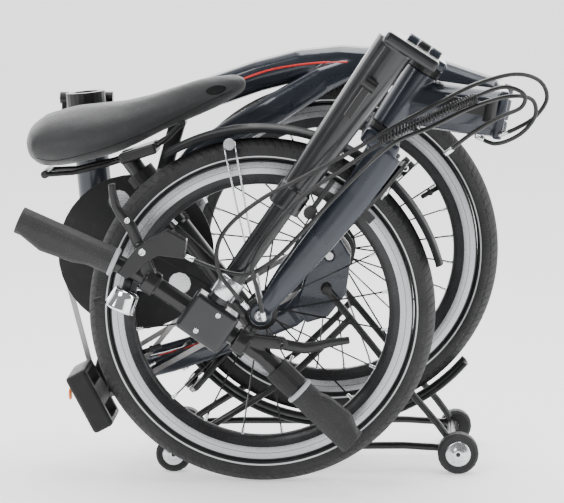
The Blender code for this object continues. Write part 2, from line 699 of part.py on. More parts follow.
def stem():
    """The block at the foot of the inner post that grips the handlebar."""
    across, along = post_axes()
    body = block("stem", (STEM_CENTRE[0], POST_Y, STEM_CENTRE[1]), (60, 38, 50), across, along, 4)
    body = cut(body, [rod("bore", post_point(POST_LENGTH - 23), post_point(200), 13.9, sides=18)])
    return cut(body, [tube("bore", [(x, POST_Y, z) for x, z in BAR], 11.4)])


# Saddle and seatpost

def seat_line(t, y=SEATPOST_Y):
    """A point t millimetres down the stowed seatpost from its head."""
    a = Vector((SEATPOST_TOP[0], 0, SEATPOST_TOP[1]))
    b = Vector((SEATPOST_FOOT[0], 0, SEATPOST_FOOT[1]))
    found = a + (b - a).normalized() * t
    return (found.x, y, found.z)


def seatpost():
    """Two-stage seatpost, laid beside the frame."""
    upper = rod("seatpost", seat_line(-6), seat_line(150), 11, sides=20)
    lower = rod("lower", seat_line(100), seat_line(262), 13.5, sides=20)
    return unite("seatpost", [upper, lower])


def saddle():
    """Padded shell from the broad tail to the nose."""
    rows = [(-305, 397, 12, 40), (-296, 399, 25, 58), (-275, 406, 32, 64), (-245, 412, 32, 65), (-215, 418, 29, 60),
            (-180, 428, 23, 46), (-145, 441, 18.5, 33), (-110, 454, 17, 25), (-80, 466, 16, 21), (-55, 474, 13, 18),
            (-42, 477.5, 7, 11)]
    stations = [(x, SEATPOST_Y, z, high, wide) for x, z, high, wide in rows]
    return limb("saddle", stations, 16, 2.3)


def saddle_base():
    """Twin rails under the saddle, the clamp head on the seatpost and the rear bumper."""
    pieces = [block("saddle_base", (-172, SEATPOST_Y, 391), (46, 56, 13), (0.95, 0, 0.31), (-0.31, 0, 0.95), 2)]
    for side in (-1, 1):
        rail = [(-284, SEATPOST_Y + side * 30, 366), (-250, SEATPOST_Y + side * 26, 368),
                (-205, SEATPOST_Y + side * 22, 379), (-160, SEATPOST_Y + side * 22, 394),
                (-138, SEATPOST_Y + side * 18, 408), (-118, SEATPOST_Y + side * 9, 428)]
        pieces.append(tube("rail", rail, 3.5, 1))
    pieces.append(rod("cross", (-284, SEATPOST_Y - 32, 366), (-284, SEATPOST_Y + 32, 366), 5))
    pieces.append(rod("nose_cross", (-119, SEATPOST_Y - 13, 427), (-119, SEATPOST_Y + 13, 427), 4.5))
    made = unite("saddle_base", pieces)
    return cut(made, [rod("bore", seat_line(-40), seat_line(40), 11.4, sides=20)])


def seatpost_holder():
    """Spring clip on the frame's lower leg that holds the stowed seatpost."""
    at = seat_line(28)
    ring = rod("seatpost_holder", seat_line(20), seat_line(34), 18.5, sides=20)
    arm = rod("arm", (at[0] + 12, SEATPOST_Y + 12, at[2] + 3), (-130, 24.6, 364), 4.5)
    made = unite("seatpost_holder", [ring, arm])
    slot = block("slot", (at[0] - 14, SEATPOST_Y, at[2] - 10), (60, 16, 26), (0.603, 0, -0.798), (0.798, 0, 0.603))
    return cut(made, [rod("bore", seat_line(0), seat_line(60), 14.2, sides=20), slot])


def seat_clamp():
    """Quick-release collar at the mouth of the seat tube."""
    x, z = SEAT_TUBE_TOP
    body = rod("seat_clamp", (x + 0.4, REAR_Y, z - 8), (x - 1.4, REAR_Y, z + 12), 24.5, sides=24)
    ears = block("ears", (x, REAR_Y + 28, z + 2), (26, 14, 13))
    cap = rod("cap", (x + 20, REAR_Y + 30, z + 2), (x + 30, REAR_Y + 30, z + 2), 8)
    bolt = rod("bolt", (x - 25, REAR_Y + 30, z + 2), (x + 22, REAR_Y + 30, z + 2), 3)
    made = unite("seat_clamp", [body, ears, cap, bolt])
    seat = rod("bore", (x + 3, REAR_Y, z - 30), (x - 3.6, REAR_Y, z + 50), 15, sides=20)
    tube_room = rod("room", (x + 2.7, REAR_Y, z - 30), (x - 0.2, REAR_Y, z + 2.6), 22, sides=24)
    return cut(made, [seat, tube_room])


def turn_lever(name, boss_ends, tip, width):
    """A cam lever: a boss round its pivot with a flat blade out to tip."""
    a = Vector(boss_ends[0])
    b = Vector(boss_ends[1])
    middle = (a + b) / 2
    blade = Vector(tip) - middle
    up = (b - a).normalized()
    at = middle + blade * 0.5
    body = block(name, at, (blade.length, width, (b - a).length * 0.6), blade, up, 1.2)
    return unite(name, [body, rod("boss", boss_ends[0], boss_ends[1], 7.5, sides=14)])


def roller(name, x, y, z, radius):
    half = [(4.5, 10), (radius - 3, 11), (radius, 8)]
    return lathe(name, (x, z), y, half + [(r, -side) for r, side in reversed(half)], 22)


def bell(cup):
    """A domed cup below the bar, on a band round it."""
    x, z = BELL_CENTRE
    mesh = bpy.data.meshes.new("bell")
    points = [(radius * MM, 0, height * MM) for radius, height in cup]
    mesh.from_pydata(points, [(i, (i + 1) % len(points)) for i in range(len(points))], [])
    obj = bpy.data.objects.new("bell", mesh)
    parts.objects.link(obj)
    screw = obj.modifiers.new("turn", "SCREW")
    screw.steps = 20
    screw.render_steps = 20
    screw.use_merge_vertices = True
    screw.merge_threshold = 0.00001
    obj.matrix_world = Matrix.Translation(place(x, POST_Y, z)) @ Matrix.Rotation(math.radians(25), 4, "Y")
    dome = bake(obj)
    top = bar_point(1, 0.7, -9)
    foot = (x + 4, POST_Y, z + 8)
    made = unite("bell", [dome, rod("stalk", foot, top, 5.5)])
    return cut(made, [rod("room", bar_point(1, -0.5), bar_point(1, 1.5), 11.5)])


CABLES = {
    "front_brake_cable": [(-14, -172, 212), (-20, -182, 246), (-26, -186, 275), (-12, -188, 306), (30, -188, 356),
                          (80, -188, 391), (132, -184, 426), (180, -174, 449), (226, -162, 470), (262, -152, 482),
                          (286, -147, 474), (284, -142, 458), (258, -136, 445), (226, -130, 425), (198, -121, 402)],
    "shift_cable": [(-34, -174, 226), (-49, -184, 246), (-65, -187, 270), (-66, -188, 301), (-49, -189, 328),
                    (-12, -190, 357), (28, -191, 378), (80, -191, 406), (132, -187, 436), (180, -172, 461),
                    (228, -150, 484), (275, -128, 495), (305, -114, 487), (315, -107, 466), (302, -106, 444),
                    (280, -107, 430), (262, -103.5, 422)],
    "rear_brake_cable": [(-103, -170, 284), (-80, -175, 275), (-58, -177, 268), (-30, -177, 266), (0, -178, 284),
                         (28, -181, 312), (80, -186, 368), (132, -186, 417), (180, -175, 438), (226, -160, 459),
                         (268, -140, 470), (296, -126, 466), (301, -119, 446), (284, -115, 424), (256, -109, 412),
                         (234, -103.5, 420)],
}


# Assembly

clear_scene()
parts = bpy.data.collections.new("folding_bicycle")
bpy.context.scene.collection.children.link(parts)

finish(main_frame(), "paint")
finish(rod("main_hinge_pin", hinge_point(0, 0, -31), hinge_point(0, 0, 31), 4), "steel")
finish(seat_clamp(), "black")
finish(seatpost_holder(), "plastic")
finish(chain_band("front_chain", [(BOTTOM_BRACKET, RING_RADIUS + GAP), (REAR_PIVOT, IDLER_RADIUS + GAP)],
                  FRONT_CHAIN_Y), "steel")

clamp_lever_axis = (SEAT_TUBE_TOP[0] - 30, REAR_Y + 30, SEAT_TUBE_TOP[1] + 2)
finish(turn_lever("seat_clamp_lever", [(-282, 105, 446), (-271.5, 105, 446)], (-277, 105, 404), 11), "black",
       pivot("seat_clamp_lever_axis", clamp_lever_axis))

crank_axis = pivot("crank_axis", (BOTTOM_BRACKET[0], 0, BOTTOM_BRACKET[1]))
x, z = BOTTOM_BRACKET
finish(rod("crank_axle", (x, 2, z), (x, 147, z), 8, sides=16), "steel", crank_axis)
finish(cog("chainring", BOTTOM_BRACKET, FRONT_CHAIN_Y, RING_RADIUS, 36, 1.5, 12), "steel", crank_axis)
finish(chain_guard(), "plastic", crank_axis)
finish(crank("right_crank", CRANK_END, 1, 11.5, (1, 12.8)), "black", crank_axis)
far_end = (2 * x - CRANK_END[0], 2 * z - CRANK_END[1])
finish(crank("left_crank", far_end, 136, 147, (113, 147)), "black", crank_axis)
finish(pedal("right_pedal", CRANK_END, (0.469, -0.883), -14, -100, 10), "plastic",
       pivot("right_pedal_axis", (CRANK_END[0], -57, CRANK_END[1])))
finish(pedal("left_pedal", far_end, (0.9, 0.43), 162, 248, 138), "plastic",
       pivot("left_pedal_axis", (far_end[0], 205, far_end[1])))
finish(lathe("chain_idler", REAR_PIVOT, 24, [(5.4, 7), (13, 7), (IDLER_RADIUS, 5), (IDLER_RADIUS, -5), (13, -7),
                                             (5.4, -7)], 24), "plastic",
       pivot("chain_idler_axis", (REAR_PIVOT[0], 24, REAR_PIVOT[1])))

post_axis = pivot("seatpost_axis", (SEATPOST_TOP[0], SEATPOST_Y, SEATPOST_TOP[1]))
finish(seatpost(), "black", post_axis)
finish(saddle(), "leather", post_axis)
finish(saddle_base(), "black", post_axis)

hinge_axis = pivot("main_hinge_axis", HINGE)
finish(front_frame(), "paint", hinge_axis)
finish(turn_lever("hinge_latch", [hinge_point(-20, -109, -9), hinge_point(-20, -109, 19)],
                  hinge_point(-76, -109, 5), 6), "black", pivot("hinge_latch_axis", hinge_point(-20, -109, 5)))

steering_axis = pivot("steering_axis", steer(0, 0, FRONT_Y))
finish(fork(), "paint", steering_axis)
for name, low, high in (("headset_lower", 0.6, 7.4), ("headset_upper", 86.6, 96.4)):
    ring = rod(name, steer(low, 0, FRONT_Y), steer(high, 0, FRONT_Y), 21, sides=24)
    ring = cut(ring, [rod("bore", steer(low - 9, 0, FRONT_Y), steer(high + 9, 0, FRONT_Y), 14.4, sides=20)])
    finish(ring, "black", steering_axis)
finish(fender("front_fender", FRONT_HUB, FRONT_Y, 15, 122, 224), "plastic", steering_axis)
finish(rod("front_axle", (FRONT_HUB[0], FRONT_Y - 46, FRONT_HUB[1]), (FRONT_HUB[0], FRONT_Y + 46, FRONT_HUB[1]), 4.5),
       "steel", steering_axis)
bolt_x, bolt_z = around(FRONT_HUB, 243, 45.6)
for label, side, stagger in (("near", -1, 4), ("far", 1, -4)):
    finish(caliper_arm(f"front_brake_arm_{label}", FRONT_HUB, FRONT_Y, 45.6, side, stagger), "black",
           pivot(f"front_brake_{label}_axis", (bolt_x, FRONT_Y, bolt_z)))
wheel("front", FRONT_HUB, FRONT_Y, FRONT_SPOKES, hub_outline(4.9, 11, 20, 26, 33), 20, 26)

fold_axis = pivot("handlepost_axis", steer(FOLD_S, -15, FOLD_Y))
finish(handlepost(), "black", fold_axis)
latch_at = post_point(34, 0, -186)
finish(turn_lever("handlepost_latch", [post_point(34, -8, -186), post_point(34, 8, -186)], post_point(80, 0, -183.5),
                  6), "black", pivot("handlepost_latch_axis", latch_at))
finish(turn_lever("post_clamp_lever", [post_point(198, 29, -164), post_point(198, 29, -146)],
                  post_point(152, 30, -155), 6), "black", pivot("post_clamp_axis", post_point(198, 29)))
slide_axis = pivot("post_slide_axis", post_point(212))
finish(inner_post(), "black", slide_axis)
bar_axis = pivot("handlebar_axis", post_point(POST_LENGTH))
finish(stem(), "black", bar_axis)
finish(handlebar(), "black", bar_axis)
finish(grip("left_grip", 0, -0.02, 0.99, -9), "rubber", bar_axis)
finish(grip("right_grip", 5, 1.02, 0.33, 9), "rubber", bar_axis)
cup = [(4, 12), (12, 12), (18, 4), (19, -12), (17.4, -12), (16, 3), (11, 9.5), (4, 9.5)]
finish(bell(cup), "chrome", bar_axis)
bell_x, bell_z = BELL_CENTRE
finish(rod("bell_lever", (bell_x - 34, POST_Y, bell_z - 4), (bell_x - 25, POST_Y, bell_z - 1), 4.5), "plastic",
       pivot("bell_lever_axis", (bell_x - 21, POST_Y, bell_z)))
finish(sleeve("twist_shifter", 5, 0.04, 0.3, 16, 11.5), "plastic", pivot("shifter_axis", bar_point(5, 0.17)))
finish(lever("left_brake_lever", [(-159, 290, 7), (-170, 318, 7), (-187, 340, 5.5), (-192, 368, 4.5)], LEFT_PIVOT, 4),
       "black", pivot("left_lever_axis", (LEFT_PIVOT[0], POST_Y, LEFT_PIVOT[1])))
finish(lever("right_brake_lever", [(2, 181, 7), (34, 175, 7), (60, 181, 5.5), (86, 185, 4.5)], RIGHT_PIVOT, 4),
       "black", pivot("right_lever_axis", (RIGHT_PIVOT[0], POST_Y, RIGHT_PIVOT[1])))

rear_axis = pivot("rear_fold_axis", (REAR_PIVOT[0], REAR_Y, REAR_PIVOT[1]))
finish(rear_stays(), "paint", rear_axis)
finish(rear_rack(), "black", rear_axis)
finish(fender("rear_fender", REAR_HUB, REAR_Y, 214, 320, 224), "plastic", rear_axis)
finish(rod("rear_axle", (REAR_HUB[0], 3, REAR_HUB[1]), (REAR_HUB[0], 147, REAR_HUB[1]), 5), "steel", rear_axis)
bolt_x, bolt_z = around(REAR_HUB, 243, 225)
for label, side, stagger in (("near", -1, 4), ("far", 1, -4)):
    finish(caliper_arm(f"rear_brake_arm_{label}", REAR_HUB, REAR_Y, 225, side, stagger), "black",
           pivot(f"rear_brake_{label}_axis", (bolt_x, REAR_Y, bolt_z)))
rear_spin = wheel("rear", REAR_HUB, REAR_Y, REAR_SPOKES, hub_outline(5.4, 24, 31, 24, 40), 31, 24)
finish(cog("rear_sprocket", REAR_HUB, REAR_CHAIN_Y, SPROCKET_RADIUS, 13, 1.5, 5.6), "steel", rear_spin)
finish(chain_band("rear_chain", [(REAR_PIVOT, IDLER_RADIUS + GAP), (REAR_HUB, SPROCKET_RADIUS + GAP)], REAR_CHAIN_Y),
       "steel", rear_axis)
for name, (x, y, z, radius) in ROLLERS.items():
    finish(roller(f"roller_{name}", x, y, z, radius), "rubber", pivot(f"roller_{name}_axis", (x, y, z)))

for name, route in CABLES.items():
    finish(tube(name, route, 2.5, 1, 2), "plastic", fold_axis)
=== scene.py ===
import json
import math

import bmesh
import bpy
from mathutils import Matrix, Vector

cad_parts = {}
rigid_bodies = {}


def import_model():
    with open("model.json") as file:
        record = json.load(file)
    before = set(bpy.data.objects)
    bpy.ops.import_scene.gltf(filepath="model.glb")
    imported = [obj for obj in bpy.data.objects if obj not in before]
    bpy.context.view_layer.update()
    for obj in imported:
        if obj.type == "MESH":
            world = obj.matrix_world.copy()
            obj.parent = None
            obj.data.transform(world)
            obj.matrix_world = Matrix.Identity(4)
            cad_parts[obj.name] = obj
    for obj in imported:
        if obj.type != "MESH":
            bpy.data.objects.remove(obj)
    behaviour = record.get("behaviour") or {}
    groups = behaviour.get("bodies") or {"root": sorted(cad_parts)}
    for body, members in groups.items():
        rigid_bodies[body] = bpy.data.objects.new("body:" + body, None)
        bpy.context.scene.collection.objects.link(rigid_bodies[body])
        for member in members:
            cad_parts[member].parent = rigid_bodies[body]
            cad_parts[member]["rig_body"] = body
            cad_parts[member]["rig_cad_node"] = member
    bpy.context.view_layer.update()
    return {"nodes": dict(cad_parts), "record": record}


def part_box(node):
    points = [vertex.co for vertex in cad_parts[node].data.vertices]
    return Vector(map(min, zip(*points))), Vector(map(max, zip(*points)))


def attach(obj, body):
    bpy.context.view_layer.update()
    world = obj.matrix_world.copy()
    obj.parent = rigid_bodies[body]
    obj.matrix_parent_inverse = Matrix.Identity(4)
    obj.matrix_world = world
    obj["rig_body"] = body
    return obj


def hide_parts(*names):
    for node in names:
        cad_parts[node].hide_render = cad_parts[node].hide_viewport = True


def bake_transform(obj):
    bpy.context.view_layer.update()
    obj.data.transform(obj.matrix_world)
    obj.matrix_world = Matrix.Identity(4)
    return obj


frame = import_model()
nodes = frame["nodes"]

# The same drafting frame as the CAD: millimetres, X right, Y away, Z up.
CENTRE_X = 4.72
CENTRE_Y = 27.234
FRONT_HUB = (-20.6, -75, 207.5)
REAR_HUB = (57.7, 75, 262)
POST_Y = -155
RAY_START_Y = -400
FENDER_RADIUS = 224
WHEEL_STEPS = 160
NIPPLE_FOOT = 0.1445
NIPPLE_OFFSET = 3.2
VALVE_FOOT = 0.129
CABLE_RADIUS = 0.0025
STAY_WIRE_RADIUS = 0.0013
WRAP_TURNS = 36
WRAP_RADIUS = 0.0058
WRAP_WIRE_RADIUS = 0.0008
SLEEVE_ALONG_POST = 326
SADDLE_VOXEL = 0.0045
SADDLE_PRESSURE = 3
CLOTH_FRAMES = 15
SWELL_LIMIT = 0.004
FLOOR_HEIGHT = -0.0004
CAMERA_DISTANCE = 3.6
CAMERA_AZIMUTH = math.radians(2.5)
CAMERA_ELEVATION = math.radians(7.85)
CAMERA_LENS = 188.35
CAMERA_TARGET_HEIGHT = 267.8
TOWARDS = (0, -1, 0)
BAR = [(-299, 324), (-188, 275), (-160, 261), (-78, 207), (-18, 167.5), (-4, 154.5), (88, 65)]


def place(x, y, z):
    return Vector((x - CENTRE_X, y - CENTRE_Y, z)) * 0.001


def bar_point(span, part):
    """The point a share of the way along one span of the handlebar's centre line."""
    a = Vector(BAR[span])
    b = Vector(BAR[span + 1])
    found = a + (b - a) * part
    return place(found.x, POST_Y, found.y)


def bar_heading(span):
    a = Vector(BAR[span])
    b = Vector(BAR[span + 1])
    return Vector((b.x - a.x, 0, b.y - a.y)).normalized()


# Materials


class Shader:
    """A Principled material whose inputs are fed by procedural nodes."""

    def __init__(self, name):
        self.material = bpy.data.materials.new(name)
        self.material.use_nodes = True
        self.tree = self.material.node_tree
        self.surface = self.tree.nodes["Principled BSDF"]
        self.where = self.node("ShaderNodeTexCoord").outputs["Object"]

    def node(self, kind, **settings):
        made = self.tree.nodes.new(kind)
        for key, value in settings.items():
            setattr(made, key, value)
        return made

    def link(self, source, target):
        self.tree.links.new(source, target)

    def feed(self, target, value):
        if isinstance(value, (int, float)):
            target.default_value = value
        else:
            self.link(value, target)

    def noise(self, scale, detail=3.0, source=None):
        made = self.node("ShaderNodeTexNoise")
        made.inputs["Scale"].default_value = scale
        made.inputs["Detail"].default_value = detail
        self.link(source or self.where, made.inputs["Vector"])
        return made.outputs["Fac"]

    def cells(self, scale, feature="F1"):
        made = self.node("ShaderNodeTexVoronoi", feature=feature)
        made.inputs["Scale"].default_value = scale
        self.link(self.where, made.inputs["Vector"])
        return made.outputs["Distance"]

    def math(self, operation, a, b=0.0):
        made = self.node("ShaderNodeMath", operation=operation)
        self.feed(made.inputs[0], a)
        self.feed(made.inputs[1], b)
        return made.outputs[0]

    def remap(self, value, low, high, to_low=0.0, to_high=1.0):
        made = self.node("ShaderNodeMapRange")
        self.link(value, made.inputs["Value"])
        for key, number in (("From Min", low), ("From Max", high), ("To Min", to_low), ("To Max", to_high)):
            made.inputs[key].default_value = number
        return made.outputs["Result"]

    def blend(self, factor, a, b):
        made = self.node("ShaderNodeMix", data_type="RGBA")
        self.feed(made.inputs["Factor"], factor)
        for socket, value in ((made.inputs[6], a), (made.inputs[7], b)):
            if isinstance(value, tuple):
                socket.default_value = (*value, 1.0)
            else:
                self.link(value, socket)
        return made.outputs[2]

    def band(self, value, low, high, soft):
        rise = self.remap(value, low - soft, low + soft)
        fall = self.remap(value, high - soft, high + soft, 1.0, 0.0)
        return self.math("MULTIPLY", rise, fall)

    def bump(self, height, strength, distance):
        made = self.node("ShaderNodeBump")
        made.inputs["Strength"].default_value = strength
        made.inputs["Distance"].default_value = distance
        self.link(height, made.inputs["Height"])
        self.link(made.outputs["Normal"], self.surface.inputs["Normal"])

    def finish(self, color, rough, metal, coat=0.0, sheen=0.0):
        self.link(color, self.surface.inputs["Base Color"])
        self.feed(self.surface.inputs["Roughness"], rough)
        self.feed(self.surface.inputs["Metallic"], metal)
        if coat:
            self.surface.inputs["Coat Weight"].default_value = coat
            self.surface.inputs["Coat Roughness"].default_value = 0.12
        if sheen:
            self.surface.inputs["Sheen Weight"].default_value = sheen
        return self.material


def lighter(color, factor):
    return tuple(min(1.0, channel * factor) for channel in color)


def painted(name, color, rough, metal=0.0, coat=0.0, flake=0.0):
    """Sprayed or powder-coated metal: orange peel, faint flakes, and wear on the edges."""
    s = Shader(name)
    cloud = s.remap(s.noise(9, 4), 0.3, 0.7)
    shade = s.blend(cloud, lighter(color, 0.86), lighter(color, 1.14))
    spark = s.math("MULTIPLY", s.remap(s.cells(2600), 0.0, 0.25, 1.0, 0.0), flake)
    shade = s.blend(spark, shade, lighter(color, 3.2))
    edge = s.node("ShaderNodeNewGeometry").outputs["Pointiness"]
    worn = s.math("MULTIPLY", s.remap(edge, 0.54, 0.66), s.remap(s.noise(220, 5), 0.45, 0.65, 0.0, 0.5))
    shade = s.blend(worn, shade, lighter(color, 3.0))
    smudge = s.remap(s.noise(34, 5), 0.3, 0.75, rough * 0.82, rough * 1.2)
    s.bump(s.noise(1300, 2), 0.06, 0.0004)
    return s.finish(shade, smudge, metal, coat)


def moulded(name, color, rough, grain=1900, depth=0.22, coat=0.0, shine=0.3):
    """Moulded plastic or rubber with a fine pebble texture."""
    s = Shader(name)
    s.surface.inputs["Specular IOR Level"].default_value = shine
    shade = s.blend(s.remap(s.noise(15, 4), 0.3, 0.7), lighter(color, 0.8), lighter(color, 1.25))
    dust = s.remap(s.noise(70, 6), 0.56, 0.72, 0.0, 0.16)
    shade = s.blend(dust, shade, (0.05, 0.048, 0.046))
    pebble = s.math("ADD", s.cells(grain), s.math("MULTIPLY", s.noise(grain * 1.6, 2), 0.5))
    s.bump(pebble, depth, 0.0005)
    gloss = s.remap(s.noise(55, 4), 0.3, 0.7, rough * 0.85, min(1.0, rough * 1.15))
    return s.finish(shade, gloss, 0.0, coat)


def machined(name, color, rough, streak=(40, 40, 1400)):
    """Brushed or turned metal: fine streaks in one direction and faint stains."""
    s = Shader(name)
    stretch = s.node("ShaderNodeMapping")
    stretch.inputs["Scale"].default_value = streak
    s.link(s.where, stretch.inputs["Vector"])
    lines = s.noise(1.0, 4, stretch.outputs["Vector"])
    shade = s.blend(s.remap(lines, 0.3, 0.7), lighter(color, 0.78), lighter(color, 1.12))
    shade = s.blend(s.remap(s.noise(60, 6), 0.58, 0.75, 0.0, 0.3), shade, lighter(color, 0.45))
    s.bump(lines, 0.1, 0.0003)
    return s.finish(shade, s.remap(lines, 0.25, 0.75, rough * 0.7, rough * 1.35), 1.0)


def radius_about(s):
    """Distance from the axle, angle about it and place along it, for a piece whose origin is at the hub."""
    split = s.node("ShaderNodeSeparateXYZ")
    s.link(s.where, split.inputs[0])
    x, y, z = split.outputs
    square = s.math("ADD", s.math("MULTIPLY", x, x), s.math("MULTIPLY", z, z))
    return s.math("SQRT", square), s.math("ARCTAN2", z, x), y


def tyre_material(name):
    """Tyre rubber: tread blocks cut round the crown, ribbed sidewall and a thin reflective stripe."""
    s = Shader(name)
    radius, angle, across = radius_about(s)
    stripe = s.band(radius, 0.1853, 0.1869, 0.00012)
    off_centre = s.math("ABSOLUTE", across)
    chevron = s.math("ADD", s.math("MULTIPLY", angle, 130), s.math("MULTIPLY", off_centre, 420))
    block = s.remap(s.math("SINE", chevron), -0.75, -0.35)
    groove = s.remap(s.math("ABSOLUTE", s.math("SUBTRACT", off_centre, 0.0055)), 0.0004, 0.0009)
    tread = s.math("MULTIPLY", block, groove)
    crown = s.remap(radius, 0.1975, 0.1990)
    rib = s.math("SINE", s.math("MULTIPLY", angle, 330))
    side = s.band(radius, 0.1895, 0.1965, 0.0008)
    ribs = s.math("MULTIPLY", s.math("MULTIPLY", rib, side), 0.12)
    height = s.math("ADD", s.math("MULTIPLY", tread, crown), ribs)
    dust = s.math("MULTIPLY", s.remap(s.noise(130, 6), 0.45, 0.7, 0.0, 0.35), s.remap(radius, 0.19, 0.206))
    rubber = s.blend(s.remap(s.noise(26, 4), 0.3, 0.7), (0.009, 0.009, 0.0095), (0.018, 0.018, 0.019))
    shade = s.blend(dust, rubber, (0.07, 0.067, 0.064))
    shade = s.blend(s.math("MULTIPLY", tread, s.math("MULTIPLY", crown, 0.25)), shade, (0.04, 0.04, 0.042))
    shade = s.blend(stripe, shade, (0.62, 0.63, 0.64))
    s.bump(height, 0.9, 0.0016)
    return s.finish(shade, s.remap(stripe, 0, 1, 0.72, 0.28), 0.0)


def rim_material(name):
    """Anodised black rim with a bare, machined brake track."""
    s = Shader(name)
    radius = radius_about(s)[0]
    track = s.band(radius, 0.1655, 0.1793, 0.00025)
    rings = s.math("SINE", s.math("MULTIPLY", radius, 21000))
    scratch = s.noise(900, 3)
    groove = s.band(radius, 0.1722, 0.1729, 0.0001)
    bright = s.blend(s.remap(scratch, 0.3, 0.7), (0.34, 0.345, 0.36), (0.52, 0.53, 0.545))
    bright = s.blend(groove, bright, (0.12, 0.12, 0.13))
    dark = s.blend(s.remap(s.noise(40, 3), 0.3, 0.7), (0.010, 0.010, 0.011), (0.022, 0.022, 0.024))
    s.bump(s.math("ADD", rings, scratch), 0.05, 0.0002)
    gloss = s.remap(scratch, 0.3, 0.7, 0.24, 0.42)
    return s.finish(s.blend(track, dark, bright), gloss, s.remap(track, 0, 1, 0.3, 1.0))


def grip_material(name):
    """Grip rubber with rows of raised dots."""
    s = Shader(name)
    dots = s.remap(s.cells(330), 0.18, 0.34, 1.0, 0.0)
    fine = s.noise(2400, 2)
    shade = s.blend(s.remap(s.noise(22, 4), 0.3, 0.7), (0.008, 0.008, 0.0085), (0.016, 0.016, 0.017))
    shade = s.blend(s.math("MULTIPLY", dots, 0.45), shade, (0.035, 0.035, 0.037))
    s.bump(s.math("ADD", dots, s.math("MULTIPLY", fine, 0.25)), 0.55, 0.0009)
    return s.finish(shade, s.remap(fine, 0.3, 0.7, 0.58, 0.75), 0.0)


def leather_material(name):
    """Saddle cover: synthetic leather with a pebbled grain, creases and a soft sheen."""
    s = Shader(name)
    grain = s.remap(s.cells(1150, "DISTANCE_TO_EDGE"), 0.0, 0.12)
    shade = s.blend(s.remap(s.noise(12, 5), 0.3, 0.7), (0.008, 0.0083, 0.0095), (0.014, 0.0145, 0.016))
    shade = s.blend(s.remap(s.noise(210, 5), 0.56, 0.74, 0.0, 0.3), shade, (0.04, 0.04, 0.043))
    s.bump(s.math("ADD", grain, s.math("MULTIPLY", s.noise(90, 4), 0.6)), 0.3, 0.0006)
    return s.finish(shade, s.remap(grain, 0, 1, 0.62, 0.46), 0.0, 0.0, 0.15)


FINISHES = {
    "frame_paint": painted("frame_paint_look", (0.016, 0.021, 0.031), 0.30, 0.35, 0.45, 0.5),
    "post_paint": painted("post_paint_look", (0.009, 0.0095, 0.011), 0.30, 0.3, 0.35, 0.3),
    "black_metal": painted("black_metal_look", (0.006, 0.006, 0.0065), 0.36, 0.3, 0.15, 0.15),
    "steel": machined("steel_look", (0.56, 0.56, 0.58), 0.28),
    "chain_steel": machined("chain_look", (0.32, 0.31, 0.31), 0.36, (700, 60, 700)),
    "silver": machined("silver_look", (0.72, 0.73, 0.75), 0.22, (500, 60, 500)),
    "black_plastic": moulded("black_plastic_look", (0.008, 0.008, 0.0085), 0.5),
    "fender_plastic": moulded("fender_look", (0.006, 0.0065, 0.007), 0.42, 900, 0.04, 0.0, 0.12),
    "cable_housing": moulded("cable_look", (0.006, 0.006, 0.0065), 0.33, 2600, 0.05, 0.2),
    "saddle_cover": leather_material("saddle_look"),
    "rim_alloy": rim_material("rim_look"),
    "tyre_rubber": tyre_material("tyre_look"),
    "grip_rubber": grip_material("grip_look"),
    "bell_chrome": machined("chrome_look", (0.86, 0.87, 0.89), 0.07, (30, 30, 30)),
    "roller_rubber": moulded("roller_look", (0.02, 0.02, 0.021), 0.62, 1500, 0.2),
    "pale_grey": moulded("grey_plastic_look", (0.34, 0.35, 0.36), 0.42, 1600, 0.1),
    "red_line": moulded("red_line_look", (0.62, 0.022, 0.018), 0.3, 1800, 0.04, 0.3),
    "amber": moulded("amber_look", (0.85, 0.19, 0.015), 0.14, 420, 0.5, 0.6),
}


def wear_finish(obj, finish):
    obj.data.materials.clear()
    obj.data.materials.append(FINISHES[finish])


for row in frame["record"]["subparts"]:
    wear_finish(nodes[row["node"]], row["material_slot"])


# Mesh helpers


def shade_smooth(mesh):
    for polygon in mesh.polygons:
        polygon.use_smooth = True


def add(name, verts, faces, finish, body, at=(0, 0, 0), slot=None, hides=()):
    """Makes one piece from points and faces, with its origin at a point, and lets it ride on a CAD body."""
    mesh = bpy.data.meshes.new(name)
    mesh.from_pydata([tuple(v) for v in verts], [], faces)
    obj = bpy.data.objects.new(name, mesh)
    bpy.context.scene.collection.objects.link(obj)
    work = bmesh.new()
    work.from_mesh(mesh)
    bmesh.ops.recalc_face_normals(work, faces=work.faces[:])
    work.to_mesh(mesh)
    work.free()
    shade_smooth(mesh)
    obj.location = at
    return settle(obj, finish, body, hides)


def settle(obj, finish, body, hides=()):
    """Gives a piece its finish and its body."""
    wear_finish(obj, finish)
    if body:
        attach(obj, body)
    if hides:
        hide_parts(*hides)
    return obj


def spun(profile, steps, axis="Y"):
    """Points and faces of a closed outline of (radius, along) pairs turned about an axis."""
    verts = []
    faces = []
    count = len(profile)
    for i in range(steps):
        turn = 2 * math.pi * i / steps
        for radius, along in profile:
            c = radius * math.cos(turn) * 0.001
            s = radius * math.sin(turn) * 0.001
            verts.append((c, along * 0.001, s) if axis == "Y" else (c, s, along * 0.001))
    for i in range(steps):
        for k in range(count):
            faces.append((i * count + k, i * count + (k + 1) % count,
                          (i + 1) % steps * count + (k + 1) % count, (i + 1) % steps * count + k))
    return verts, faces


